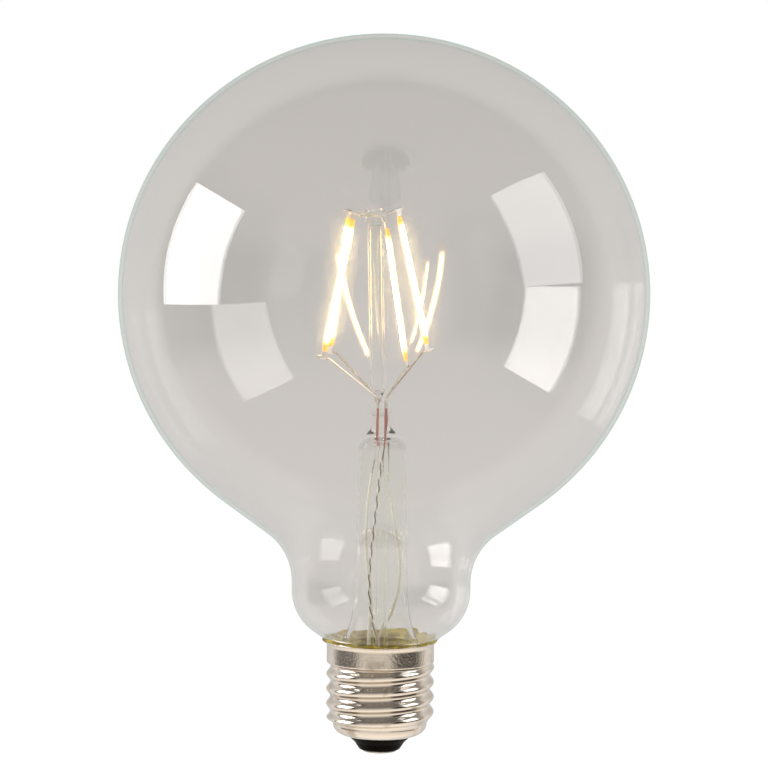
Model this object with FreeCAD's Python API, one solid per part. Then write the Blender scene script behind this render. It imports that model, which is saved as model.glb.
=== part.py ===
"""Globe filament lamp with a rolled screw cap, built in millimetres.

The origin is the lowest point of the centre contact, where the lamp meets its
holder, and +Z runs up the lamp's axis to the crown of the globe. -Y is the front.
"""

import FreeCAD
import Part

import math
import os
from FreeCAD import Vector

# Glass envelope
globe_radius = 63.5
globe_half_height = 62.1
globe_centre_z = 110.6
glass_wall = 0.9
globe_slope = math.radians(53.7)
neck_radius = 21.6
neck_hollow_radius = 15.0
shoulder_radius = 12.5
shoulder_slope = math.radians(55)
seal_z = 25.9

# Stem: flared tube, closed by the pinch that grips the leads
stem_wall = 0.8
stem_foot_radius = 6.3
stem_foot_z = 40.0
stem_head_radius = 5.65
stem_head_z = 75.0
stem_head_round = 3.0
stem_dome_z = 75.4
stem_shoulder_radius = 1.9
stem_shoulder_z = 79.2
stem_flare_z = 32.0
seal_lip = 0.9
pinch_x = -0.6
pinch_neck_radius = 1.9
pinch_bead_radius = 2.7
pinch_bead_low_z = 81.7
pinch_top_z = 84.8
exhaust_radius = 1.75
exhaust_bore = 1.05
exhaust_tip_z = 17.0
exhaust_tip_length = 2.4
exhaust_hole_radius = 0.5
exhaust_hole_z = 77.0

# Support post, leaning a little to the left
post_radius = 1.85
post_foot = Vector(-1.17, 0, pinch_top_z)
post_head = Vector(-2.4, 0, 131.3)
post_foot_radius = 0.7
post_taper = 2.9
post_bore = 1.2
post_plug = 0.8
button_radius = 2.6
button_base_radius = 3.1
button_height = 3.1

# Filaments: the aim points of their ends, as hung by hand in the photo
strip_length = 32.0
strip_width = 1.6
strip_thick = 1.0
strip_taper = 3.0
strip_tip_scale = 0.72
tab_length = 2.0
tab_width = 1.3
tab_thick = 0.18
filament_ends = {
    "rear_left": (Vector(-8.4, 1.0, 131.3), Vector(-13.1, 8.5, 95.7)),
    "front_left": (Vector(-7.4, -3.3, 129.8), Vector(-14.3, -6.6, 96.0)),
    "front_right": (Vector(0.25, -5.4, 128.2), Vector(5.6, -12.7, 93.7)),
    "rear_right": (Vector(2.9, 2.8, 131.7), Vector(11.0, 7.5, 96.5)),
}

# Leads
feed_radius = 0.25
feed_tail = 0.8
cross_radius = 0.2
cross_spacing = 0.8
seal_lead_radius = 0.18
lead_x = -0.3
lead_pitch = 0.8
lead_depth = 1.1
lead_knee_z = 79.4
lead_end_y = 2.3
lead_end_z = 74.6
feed_foot_z = 83.4
feed_knee_rise = 1.3
sleeve_radius = 0.42
tail_radius = 0.14
tail_stub = 0.6
wire_sides = 10
bend_steps = 4
strand_sides = 8
twist_pitch = 3.8
twist_sides = 6
twist_steps = 5
twist_offset = 0.2
twist_route = [
    Vector(-0.15, -2.6, 71.6),
    Vector(-1.1, -2.6, 61.7),
    Vector(-2.0, -2.6, 53.0),
    Vector(-2.75, -2.6, 43.0),
    Vector(-2.6, -2.7, 36.4),
    Vector(-1.6, -2.8, 30.1),
    Vector(-1.2, -3.0, 24.0),
]
tail_routes = {
    "rear_left": [
        Vector(-2.5, 2.3, 67.5),
        Vector(-3.4, 2.2, 60.7),
        Vector(-4.0, 2.3, 52.0),
        Vector(-3.6, 2.3, 46.7),
        Vector(-2.95, 2.4, 41.4),
        Vector(-2.4, 2.5, 34.0),
        Vector(-2.85, 2.7, 27.6),
        Vector(-3.1, 3.2, 16.0),
    ],
    "rear_right": [
        Vector(0.3, 2.4, 67.7),
        Vector(2.3, 2.2, 60.7),
        Vector(3.5, 2.2, 53.7),
        Vector(4.3, 1.9, 48.9),
        Vector(4.7, 1.0, 44.0),
        Vector(4.2, 1.9, 38.6),
        Vector(2.65, 2.7, 33.5),
        Vector(0.6, 3.0, 29.6),
        Vector(-0.9, 3.2, 26.6),
        Vector(0.2, 3.6, 20.6),
        Vector(0.9, 3.7, 16.0),
    ],
}

# Screw cap
thread_pitch = 3.629
thread_mean_radius = 12.62
thread_depth = 0.86
thread_low_z = 7.0
thread_high_z = 21.9
thread_runout = 1.6
thread_phase = math.radians(-265.3)
sheet = 0.25
skirt_radius = 13.0
skirt_top_z = 26.0
rim_reach = 0.8
rim_radius = skirt_radius + rim_reach
rim_z = 27.2
cap_root_radius = 11.4
cap_lip_radius = 8.1
cap_lip_z = 4.3
cap_sides = 30
steps_per_turn = 6
lip_steps = (0.0, 0.12, 0.35, 0.65, 1.0)
lip_inset = 0.4
rim_flare = 0.3
seat = 0.1
cement_thick = 1.55
seal_radius = skirt_radius - sheet - cement_thick

# Insulator and centre contact
insulator_radius = 7.7
insulator_waist_radius = 6.1
insulator_waist_z = 2.5
insulator_face_radius = 4.9
insulator_top_z = 6.6
contact_radius = 4.2
contact_thick = 0.7
contact_face_radius = 3.1
lead_hole_radius = 1.3

# Driver
board_z = 11.4
board_thick = 1.0
board_gap = 0.3
capacitor_radius = 2.6
capacitor_height = 5.6
capacitor_place = Vector(6.6, -1.0, 0)
rectifier_size = (4.7, 3.8, 1.5)
rectifier_place = Vector(-6.6, -1.5, 0)
chip_size = (4.9, 3.9, 1.4)
chip_place = Vector(4.4, 2.6, 0)
resistor_radius = 1.25
resistor_length = 3.2
resistor_low_z = 7.5
pin_radius = 0.25
neutral_place = Vector(0, -8.6, 0)
neutral_height = 3.2
neutral_bend = 1.2

# Fine edges
smallest_round = 0.7

Z = Vector(0, 0, 1)


def save(node, shape):
    """Write one node's solid or solids to parts/NODE.step."""
    shape.exportStep("parts/" + node + ".step")
    print(node, len(shape.Solids), "solids", round(shape.Volume, 3), "mm3", shape.isValid())


def line(a, b):
    """A straight edge between two (radius, z) points."""
    return Part.LineSegment(Vector(a[0], 0, a[1]), Vector(b[0], 0, b[1])).toShape()


def arc(a, through, b):
    """A circular edge between two (radius, z) points, through a third."""
    return Part.Arc(*[Vector(r, 0, z) for r, z in (a, through, b)]).toShape()


def rounded_path(points, radii):
    """Straight runs through the points, with an arc of the given radius at each inner point.

    Where a radius is too large for its two runs, the arc takes nearly half of the shorter one.
    A radius under smallest_round is cut as a flat, so that fine edges have few faces.
    """
    edges = []
    at = points[0]
    for before, corner, after, wanted in zip(points, points[1:], points[2:], radii):
        back = (before - corner).normalize()
        ahead = (after - corner).normalize()
        half_gap = back.getAngle(ahead) / 2
        if wanted == 0 or math.pi / 2 - half_gap < 1e-4:
            edges.append(Part.LineSegment(at, corner).toShape())
            at = corner
            continue
        run = 0.49 * min((before - corner).Length, (after - corner).Length)
        reach = min(run, wanted / math.tan(half_gap))
        radius = reach * math.tan(half_gap)
        middle = (back + ahead).normalize()
        start = corner + back * reach
        end = corner + ahead * reach
        bulge = radius / math.sin(half_gap) - radius
        if (start - at).Length > 1e-6:
            edges.append(Part.LineSegment(at, start).toShape())
        if radius < smallest_round:
            edges.append(Part.LineSegment(start, end).toShape())
        else:
            edges.append(Part.Arc(start, corner + middle * bulge, end).toShape())
        at = end
    edges.append(Part.LineSegment(at, points[-1]).toShape())
    return edges


def turned(edges, centre_x=0.0):
    """The solid that a closed outline of edges makes when turned about an upright axis."""
    face = Part.Face(Part.Wire(Part.__sortEdges__(edges)))
    if centre_x:
        face.translate(Vector(centre_x, 0, 0))
    return face.revolve(Vector(centre_x, 0, 0), Z, 360).Solids[0]


def turned_points(points, radii=None, centre_x=0.0):
    """The solid of revolution of a closed (radius, z) outline, with rounded corners.

    radii holds one radius for each point, 0 for a sharp one; the first and last stay sharp.
    """
    corners = [Vector(r, 0, z) for r, z in points]
    edges = rounded_path(corners, radii[1:-1] if radii else [0] * (len(points) - 2))
    edges.append(line(points[-1], points[0]))
    return turned(edges, centre_x)


def rod(start, end, radius):
    """A round bar between two points."""
    return Part.makeCylinder(radius, (end - start).Length, start, end - start)


def wire(points, radius, bend_radius, across=Vector(0, 1, 0)):
    """A many-sided wire along the points, with each bend as a few short runs."""
    centres = [points[0]]
    for edge in rounded_path(points, [bend_radius] * (len(points) - 2)):
        steps = bend_steps if isinstance(edge.Curve, Part.Circle) else 1
        centres += edge.discretize(steps + 1)[1:]
    return strand(centres, radius, wire_sides, across)


def strand(centres, radius, sides, across=Vector(0, 1, 0)):
    """A fine many-sided strand through a row of centres, never running along across."""
    rings = []
    for before, centre, after in zip(centres[:1] + centres, centres, centres[1:] + centres[-1:]):
        ahead = (after - before).normalize()
        side = ahead.cross(across).normalize()
        front = ahead.cross(side)
        ring = []
        for n in range(sides):
            turn = 2 * math.pi * n / sides
            ring.append(centre + (side * math.cos(turn) + front * math.sin(turn)) * radius)
        rings.append(Part.makePolygon(ring + ring[:1]))
    return Part.makeLoft(rings, True, True)


def globe_outline(inset):
    """Edges of one glass surface from the crown down to the seal, set in by inset.

    The slightly flattened globe is an oval of three arcs: a small one round the equator
    and a larger one above and below it. Its lowest part runs on as a cone into the neck.
    """
    a = globe_radius - inset
    b = globe_half_height - inset
    spread = (a - b) / (math.sqrt(2) - 1)
    side_radius = a - spread * math.sqrt(0.5)
    crown_radius = b + spread * math.sqrt(0.5)

    def side(angle):
        radius = a - side_radius + side_radius * math.cos(angle)
        return (radius, globe_centre_z + side_radius * math.sin(angle))

    def polar(angle, half):
        centre_z = globe_centre_z + half * (b - crown_radius)
        return (crown_radius * math.cos(angle), centre_z + half * crown_radius * math.sin(angle))

    eighth = math.pi / 4
    crown = (0, globe_centre_z + b)
    join = polar(globe_slope, -1)
    globe = [
        arc(crown, polar(eighth * 1.5, 1), side(eighth)),
        arc(side(eighth), side(0), side(-eighth)),
        arc(side(-eighth), polar((eighth + globe_slope) / 2, -1), join),
    ]
    neck = neck_radius - inset
    foot = seal_radius - inset / math.cos(shoulder_slope)
    corners = [
        join,
        (neck, join[1] - (join[0] - neck) / math.tan(globe_slope)),
        (neck, seal_z + (neck - foot) / math.tan(shoulder_slope)),
        (foot, seal_z),
    ]
    neck_edges = rounded_path(
        [Vector(r, 0, z) for r, z in corners],
        [neck_hollow_radius + inset, shoulder_radius - inset],
    )
    return globe + neck_edges, crown, (foot, seal_z)


def envelope():
    """The blown globe with its neck, open at the seal."""
    outside, crown_out, foot_out = globe_outline(0.0)
    inside, crown_in, foot_in = globe_outline(glass_wall)
    return turned(outside + inside + [line(foot_out, foot_in), line(crown_in, crown_out)])


def lead_places():
    """Where each filament's lead passes the pinch, from the filament's own quarter."""
    places = {}
    for name, (top, bottom) in filament_ends.items():
        side_x = math.copysign(lead_pitch, bottom.x)
        side_y = math.copysign(lead_depth, bottom.y)
        places[name] = Vector(lead_x + side_x, side_y, 0)
    return places


def stem_flare(leads):
    """The flared stem tube with its pinch, melted round the leads."""
    foot_in = stem_foot_radius - stem_wall
    head_in = stem_head_radius - stem_wall
    lip = seal_radius - glass_wall / math.cos(shoulder_slope) - seat
    rim_in = lip - stem_wall
    flare_round = (stem_foot_z - stem_flare_z) * 2
    dome_round = stem_head_round - stem_wall
    profile = [
        ((0, stem_shoulder_z), 0),
        ((stem_shoulder_radius, stem_shoulder_z), 0),
        ((stem_head_radius, stem_head_z), stem_head_round),
        ((stem_foot_radius, stem_foot_z), 0),
        ((stem_foot_radius + stem_wall, stem_flare_z), flare_round),
        ((lip, seal_z), 0),
        ((seal_radius, seal_z), 0),
        ((seal_radius, seal_z - seal_lip), seal_lip / 2),
        ((rim_in, seal_z - seal_lip), 0),
        ((foot_in + stem_wall, stem_flare_z), flare_round),
        ((foot_in, stem_foot_z), 0),
        ((head_in, stem_dome_z), dome_round),
        ((0, stem_dome_z), 0),
    ]
    tube = turned_points([point for point, radius in profile], [radius for point, radius in profile])
    pinch = turned_points([
        (0, stem_shoulder_z - 0.6),
        (pinch_neck_radius, stem_shoulder_z - 0.6),
        (pinch_neck_radius, pinch_bead_low_z),
        (pinch_bead_radius, pinch_bead_low_z + 0.4),
        (pinch_bead_radius, pinch_top_z - 0.6),
        (pinch_neck_radius - 0.1, pinch_top_z),
        (0, pinch_top_z),
    ], [0, 0, 0.3, 0.8, 0.8, 0, 0], pinch_x)
    glass = tube.fuse(pinch)
    turn_off = Vector(0, 0, exhaust_hole_z)
    pumping_way = rod(Vector(0, 0, stem_dome_z), turn_off, exhaust_hole_radius)
    side_way = rod(turn_off, turn_off + Vector(stem_head_radius, 0, 0), exhaust_hole_radius)
    for lead in leads + [pumping_way, side_way]:
        glass = glass.cut(lead)
    return glass.removeSplitter()


def exhaust_tube():
    """The tube that the lamp was pumped and filled through, melted shut at its tip."""
    shoulder = exhaust_tip_z + exhaust_tip_length
    return turned_points([
        (0, exhaust_tip_z),
        (exhaust_radius * 0.35, exhaust_tip_z),
        (exhaust_radius, shoulder),
        (exhaust_radius, stem_dome_z),
        (exhaust_bore, stem_dome_z),
        (exhaust_bore, shoulder + 1.2),
        (0, shoulder),
    ], [0, 0.3, 1.5, 0, 0, 0.5, 0])


def support_post(cross_wires):
    """The leaning glass post, with the pressed button that holds the cross wires."""
    lean = post_head - post_foot
    top = lean.Length
    low = top - button_height
    post = turned_points([
        (0, 0),
        (post_foot_radius, 0),
        (post_foot_radius + 0.3, post_taper * 0.5),
        (post_radius, post_taper),
        (post_radius, low),
        (button_base_radius, low + 0.2),
        (button_base_radius, low + 1.2),
        (button_radius, top - 0.9),
        (button_radius - 0.2, top),
        (0, top),
    ], [0, 0, 0.8, 0.6, 0.3, 0.3, 0.6, 0, 0.5, 0])
    bore_foot = Vector(0, 0, post_taper)
    post = post.cut(rod(bore_foot, Vector(0, 0, low - post_plug), post_bore))
    post.rotate(Vector(), Z.cross(lean), math.degrees(Z.getAngle(lean)))
    post.translate(post_foot)
    below = Part.makeBox(2, 2, 1, Vector(post_foot.x - 1, -1, post_foot.z - 1))
    post = post.cut(below)
    for strand_of_wire in cross_wires:
        post = post.cut(strand_of_wire)
    return post


class Filament:
    """One lamp filament: its strip, the two end tabs and where its wires are held."""

    def __init__(self, name, top, bottom):
        self.name = name
        self.along = (top - bottom).normalize()
        self.centre = (top + bottom) * 0.5
        self.half = strip_length / 2 + tab_length
        inward = Vector(-self.centre.x, -self.centre.y, 0)
        self.across = (inward - self.along * inward.dot(self.along)).normalize()

    def end(self, side):
        """The middle of the wire that the tab at this end (1 top, -1 bottom) is curled round."""
        return self.centre + self.along * (side * (self.half - tab_thick - feed_radius))

    def placed(self, shape):
        """A shape drawn along +Z with its width on X, moved to the filament."""
        third = self.along.cross(self.across)
        frame = FreeCAD.Matrix(
            self.across.x, third.x, self.along.x, self.centre.x,
            self.across.y, third.y, self.along.y, self.centre.y,
            self.across.z, third.z, self.along.z, self.centre.z,
            0, 0, 0, 1,
        )
        return shape.transformShape(frame, False)

    def strip(self):
        """The coated strip, with its tapered unlit ends."""
        half = strip_length / 2
        full = half - strip_taper
        stations = [(-half, strip_tip_scale), (-full, 1), (full, 1), (half, strip_tip_scale)]
        rings = []
        for z, scale in stations:
            round_off = strip_thick / 2 * scale
            flat = strip_width / 2 * scale - round_off
            corners = [Vector(flat, -round_off, z), Vector(flat, round_off, z)]
            corners += [Vector(-flat, round_off, z), Vector(-flat, -round_off, z)]
            rings.append(Part.Wire([
                Part.Arc(corners[0], Vector(flat + round_off, 0, z), corners[1]).toShape(),
                Part.LineSegment(corners[1], corners[2]).toShape(),
                Part.Arc(corners[2], Vector(-flat - round_off, 0, z), corners[3]).toShape(),
                Part.LineSegment(corners[3], corners[0]).toShape(),
            ]))
        return self.placed(Part.makeLoft(rings, True, True))

    def tab(self, side, wire_radius, held_wire):
        """The metal tab at one end, curled round the wire that it is crimped on."""
        start = strip_length / 2
        curl = self.half - tab_thick - feed_radius
        reach = curl - start
        edge = -tab_width / 2
        outer = wire_radius + tab_thick
        plate = Part.makeBox(tab_width, tab_thick, reach, Vector(edge, wire_radius, start))
        ring = Part.makeCylinder(outer, tab_width, Vector(edge, 0, curl), Vector(1, 0, 0))
        mouth = Part.makeBox(tab_width, outer, outer, Vector(edge, -outer, curl - outer))
        shape = plate.fuse(ring.cut(mouth))
        if side < 0:
            shape.rotate(Vector(), Vector(1, 0, 0), 180)
        return self.placed(shape).cut(held_wire).removeSplitter()


def feed_wire(filament, place):
    """A nickel wire from the pinch up and out to the filament's lower tab."""
    foot = Vector(place.x, place.y, feed_foot_z)
    knee = Vector(
        place.x + math.copysign(0.5, place.x - lead_x),
        place.y + math.copysign(0.45, place.y),
        pinch_top_z + feed_knee_rise,
    )
    held = filament.end(-1)
    outward = filament.across * -1
    bend = held - outward * (tab_width / 2 + 1.0)
    tip = held + outward * (tab_width / 2 + feed_tail)
    return wire([foot, Vector(place.x, place.y, pinch_top_z + 0.3), knee, bend, tip], feed_radius, 1.2)


def cross_wire(first, second, rise):
    """A support wire from one upper tab through the post's button to the other."""
    lean = (post_head - post_foot).normalize()
    middle = post_head - lean * (button_height / 2 - rise)
    halves = []
    for filament in (first, second):
        outward = filament.across * -1
        held = filament.end(1)
        tip = held + outward * (tab_width / 2 + feed_tail)
        inner = held - outward * (tab_width / 2 + 0.7)
        reach = Vector(inner.x - middle.x, inner.y - middle.y, 0).normalize()
        halves.append([tip, inner, middle + reach * (button_base_radius + 0.3)])
    return wire(halves[0] + [middle] + halves[1][::-1], cross_radius, 1.5)


def lead_end(place):
    """Where a seal lead comes out of the glass and its copper tail begins."""
    return Vector(place.x, math.copysign(lead_end_y, place.y), lead_end_z)


def seal_lead(place):
    """The copper-clad lead that the pinch glass is melted round."""
    top = Vector(place.x, place.y, feed_foot_z)
    return wire([top, Vector(place.x, place.y, lead_knee_z), lead_end(place)], seal_lead_radius, 2.0)


def twisted_strand(start, phase):
    """One of the two bare strands that are wound about each other, from its seal lead down."""
    curve = Part.BSplineCurve()
    curve.interpolate(twist_route)
    length = curve.length()
    steps = int(length / twist_pitch * twist_steps)
    centres = [start]
    for k in range(steps + 1):
        angle = phase + 2 * math.pi * k / twist_steps
        offset = Vector(math.cos(angle), math.sin(angle), 0) * twist_offset
        centres.append(curve.value(curve.parameterAtDistance(length * k / steps)) + offset)
    apart = offset * 2
    foot = Vector(twist_route[-1].x, twist_route[-1].y, board_z + board_thick + tail_stub) + apart
    centres += [foot, foot - Z * (board_thick + 2 * tail_stub)]
    return strand(centres, tail_radius, twist_sides)


def sleeved_tail(start, route):
    """A copper tail from its seal lead down to the board, and the sleeve that is slid over it."""
    foot = Vector(route[-1].x, route[-1].y, board_z - tail_stub)
    tail = strand([start] + route + [foot], tail_radius, strand_sides)
    cover = strand(route, sleeve_radius, strand_sides)
    return tail, cover.cut(tail)


def cap_radius(z, turn):
    """Outer radius of the rolled cap at a height and an angle about its axis."""
    rise = min(1.0, max(0.0, (z - thread_low_z) / thread_runout))
    fall = min(1.0, max(0.0, (thread_high_z - z) / thread_runout))
    rise = rise * rise * (3 - 2 * rise)
    fall = fall * fall * (3 - 2 * fall)
    wave = math.cos(turn - 2 * math.pi * z / thread_pitch - thread_phase)
    base = cap_root_radius + (thread_mean_radius - cap_root_radius) * rise
    base += (skirt_radius - thread_mean_radius) * (1 - fall)
    return base + thread_depth / 2 * rise * fall * wave


def cap_ring(z, radius_at):
    """A closed polygon round the axis at one height."""
    corners = []
    for k in range(cap_sides):
        turn = 2 * math.pi * k / cap_sides
        radius = radius_at(turn)
        corners.append(Vector(radius * math.cos(turn), radius * math.sin(turn), z))
    return Part.makePolygon(corners + corners[:1])


def cap_surface(inset):
    """One side of the cap's sheet, from the curled lip to the flared rim, as rings."""
    root_height = thread_low_z - cap_lip_z
    rings = []
    for part in lip_steps:
        swell = math.sqrt(1 - (1 - part) ** 2)
        radius = cap_lip_radius + (cap_root_radius - cap_lip_radius) * swell
        z = cap_lip_z + root_height * part
        lift = inset * (1 - swell) if part else 0
        rings.append(cap_ring(z + lift, lambda turn: radius - inset * max(swell, lip_inset)))
    steps = round((thread_high_z - thread_low_z) / thread_pitch * steps_per_turn)
    for k in range(1, steps + 1):
        z = thread_low_z + (thread_high_z - thread_low_z) * k / steps
        rings.append(cap_ring(z, lambda turn: cap_radius(z, turn) - inset))
    rings.append(cap_ring(skirt_top_z, lambda turn: skirt_radius - inset))
    middle = (skirt_top_z + rim_z) / 2
    middle_radius = skirt_radius + (rim_radius - skirt_radius) * rim_flare
    rings.append(cap_ring(middle, lambda turn: middle_radius - inset))
    rings.append(cap_ring(rim_z, lambda turn: rim_radius - inset))
    return rings


def screw_shell():
    """The rolled thread shell: thin sheet with the same thread inside and out."""
    outer = cap_surface(0.0)
    inner = cap_surface(sheet)
    faces = Part.makeLoft(outer, False, True).Faces + Part.makeLoft(inner, False, True).Faces
    for end in (0, -1):
        faces.append(Part.Face([outer[end], inner[end]]))
    shell = Part.makeShell(faces)
    shell.sewShape()
    solid = Part.Solid(shell)
    solid.fix(1e-4, 1e-4, 1e-4)
    return solid


def insulator():
    """The moulded insulator that closes the cap and carries the contact."""
    inside = (cap_root_radius - sheet) * math.cos(math.pi / cap_sides) - 2 * seat
    lip = (cap_lip_radius - sheet) * math.cos(math.pi / cap_sides) - 2 * seat
    return turned_points([
        (lead_hole_radius, insulator_top_z),
        (inside - 0.5, insulator_top_z),
        (lip + 0.6, cap_lip_z + 0.7),
        (lip, cap_lip_z),
        (lip, cap_lip_z - seat),
        (insulator_radius, cap_lip_z - 0.3),
        (insulator_waist_radius, insulator_waist_z),
        (insulator_face_radius, contact_thick),
        (lead_hole_radius, contact_thick),
    ], [0, 0.6, 0, 0, 0, 0.4, 1.0, 0.5, 0])


def centre_contact():
    """The pressed contact disc, rounded at its edge."""
    return turned_points([
        (0, 0),
        (contact_face_radius, 0),
        (contact_radius, contact_thick * 0.4),
        (contact_radius, contact_thick),
        (0, contact_thick),
    ], [0, 1.2, 0.2, 0, 0])


def cement(glass_block):
    """The cement bed between the glass neck and the cap's skirt."""
    outside = (skirt_radius - sheet) * math.cos(math.pi / cap_sides) - seat
    low = thread_high_z + 0.3
    ring = turned_points([
        (seal_radius - 1.6, low),
        (outside, low),
        (outside, skirt_top_z),
        (outside + (rim_radius - skirt_radius) * 0.5, rim_z - 0.2),
        (seal_radius - 1.6, rim_z - 0.2),
    ])
    return ring.cut(glass_block)


def glass_block():
    """The room that the glass takes inside the cap, for the cement to be cut by."""
    outside, crown, foot = globe_outline(0.0)
    bed = turned(outside + [line(foot, (0, seal_z)), line((0, seal_z), crown)])
    plug = Part.makeCylinder(seal_radius, seal_lip + 4, Vector(0, 0, seal_z - seal_lip - 4))
    return bed.fuse(plug)


def driver_board(through):
    """The round board that sits across the cap, drilled for what passes through it."""
    radius = thread_mean_radius - thread_depth / 2 - sheet - board_gap
    board = Part.makeCylinder(radius, board_thick, Vector(0, 0, board_z))
    for lead in through:
        board = board.cut(lead)
    return board


def fusible_resistor():
    """The resistor that joins the board to the centre contact, on the axis, with its leads."""
    high = resistor_low_z + resistor_length
    return turned_points([
        (0, contact_thick),
        (pin_radius, contact_thick),
        (pin_radius, resistor_low_z),
        (resistor_radius, resistor_low_z),
        (resistor_radius, high),
        (pin_radius, high),
        (pin_radius, board_z + board_thick + tail_stub),
        (0, board_z + board_thick + tail_stub),
    ], [0, 0, 0, 0.4, 0.4, 0, 0, 0])


def neutral_lead():
    """The lead from the board's edge up and out to the inside of the threaded shell."""
    foot = Vector(neutral_place.x, neutral_place.y, board_z - tail_stub)
    bend = Vector(neutral_place.x, neutral_place.y, board_z + board_thick + neutral_height)
    turn = math.atan2(neutral_place.y, neutral_place.x)
    narrowest = min(cap_radius(bend.z + off, turn) for off in (-pin_radius, 0, pin_radius))
    reach = (narrowest - sheet) * math.cos(math.pi / cap_sides) - seat
    end = Vector(reach * math.cos(turn), reach * math.sin(turn), bend.z)
    return wire([foot, bend, end], pin_radius, neutral_bend, Vector(1, 0, 0))


def capacitor():
    """The can that smooths the supply, standing on the board."""
    low = board_z + board_thick
    can = turned_points([
        (0, low),
        (capacitor_radius, low),
        (capacitor_radius, low + capacitor_height),
        (0, low + capacitor_height),
    ], [0, 0.3, 0.4, 0])
    can.translate(Vector(capacitor_place.x, capacitor_place.y, 0))
    return can


def block(size, place, z):
    """A rectangular component body standing on or hanging at a height."""
    body = Part.makeBox(*size, Vector(place.x - size[0] / 2, place.y - size[1] / 2, z))
    return body.makeFillet(0.2, [e for e in body.Edges if abs(e.tangentAt(e.FirstParameter).z) > 0.9])


def main():
    """Build every node and write it."""
    os.makedirs("parts", exist_ok=True)
    filaments = {name: Filament(name, *ends) for name, ends in filament_ends.items()}
    places = lead_places()
    feeds = {name: feed_wire(filaments[name], places[name]) for name in filaments}
    seal_leads = {name: seal_lead(places[name]) for name in filaments}
    crosses = {
        "cross_wire_high": cross_wire(filaments["front_left"], filaments["rear_right"], cross_spacing / 2),
        "cross_wire_low": cross_wire(filaments["rear_left"], filaments["front_right"], -cross_spacing / 2),
    }
    save("globe_envelope", envelope())
    save("stem_flare", stem_flare(list(seal_leads.values()) + list(feeds.values())))
    save("exhaust_tube", exhaust_tube())
    save("support_post", support_post(list(crosses.values())))
    for name, filament in filaments.items():
        top_wire = crosses["cross_wire_high" if name in ("front_left", "rear_right") else "cross_wire_low"]
        save("filament_" + name, filament.strip())
        save("upper_tab_" + name, filament.tab(1, cross_radius, top_wire))
        save("lower_tab_" + name, filament.tab(-1, feed_radius, feeds[name]))
        save("feed_wire_" + name, feeds[name])
        save("seal_lead_" + name, seal_leads[name])
    for name, shape in crosses.items():
        save(name, shape)
    strands = [
        twisted_strand(lead_end(places["front_left"]), math.pi),
        twisted_strand(lead_end(places["front_right"]), 0.0),
    ]
    tails = {name: sleeved_tail(lead_end(places[name]), route) for name, route in tail_routes.items()}
    save("twisted_tail_left", strands[0])
    save("twisted_tail_right", strands[1])
    for name, (tail, cover) in tails.items():
        save("copper_tail_" + name, tail)
        save("tail_sleeve_" + name, cover)
    save("screw_shell", screw_shell())
    save("insulator", insulator())
    save("centre_contact", centre_contact())
    save("cement_ring", cement(glass_block()))
    top = board_z + board_thick
    resistor = fusible_resistor()
    neutral = neutral_lead()
    through = strands + [tail for tail, cover in tails.values()] + [resistor, neutral]
    save("driver_board", driver_board(through))
    save("fusible_resistor", resistor)
    save("neutral_lead", neutral)
    save("smoothing_capacitor", capacitor())
    save("bridge_rectifier", block(rectifier_size, rectifier_place, top))
    save("driver_chip", block(chip_size, chip_place, board_z - chip_size[2]))


main()
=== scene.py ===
"""Clear globe lamp with glowing filament strips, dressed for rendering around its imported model."""

import logging
import math
from dataclasses import dataclass, field
from enum import Enum

import bmesh
import bpy
import numpy as np
from mathutils import Matrix, Vector, noise


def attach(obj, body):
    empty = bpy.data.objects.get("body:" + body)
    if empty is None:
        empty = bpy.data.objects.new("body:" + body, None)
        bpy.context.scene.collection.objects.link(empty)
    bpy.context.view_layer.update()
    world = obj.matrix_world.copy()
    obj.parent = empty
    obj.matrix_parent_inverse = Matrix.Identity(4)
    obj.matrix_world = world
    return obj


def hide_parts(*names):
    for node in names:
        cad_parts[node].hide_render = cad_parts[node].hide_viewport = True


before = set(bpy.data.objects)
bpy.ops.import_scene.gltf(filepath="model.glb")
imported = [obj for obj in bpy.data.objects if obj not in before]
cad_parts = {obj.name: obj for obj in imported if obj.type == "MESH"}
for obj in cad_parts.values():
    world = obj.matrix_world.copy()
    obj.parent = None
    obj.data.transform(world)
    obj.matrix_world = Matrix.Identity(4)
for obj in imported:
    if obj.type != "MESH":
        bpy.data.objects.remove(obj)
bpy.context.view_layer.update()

MM = 0.001
WELD_DISTANCE = 1e-7
SHARP_ANGLE = math.radians(38)
log = logging.getLogger("globe_lamp")

Colour = tuple[float, float, float]
Triple = tuple[float, float, float]
Point = tuple[float, float]


class Quarter(Enum):
    """The four places that a filament hangs in."""

    REAR_LEFT = "rear_left"
    FRONT_LEFT = "front_left"
    FRONT_RIGHT = "front_right"
    REAR_RIGHT = "rear_right"


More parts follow.
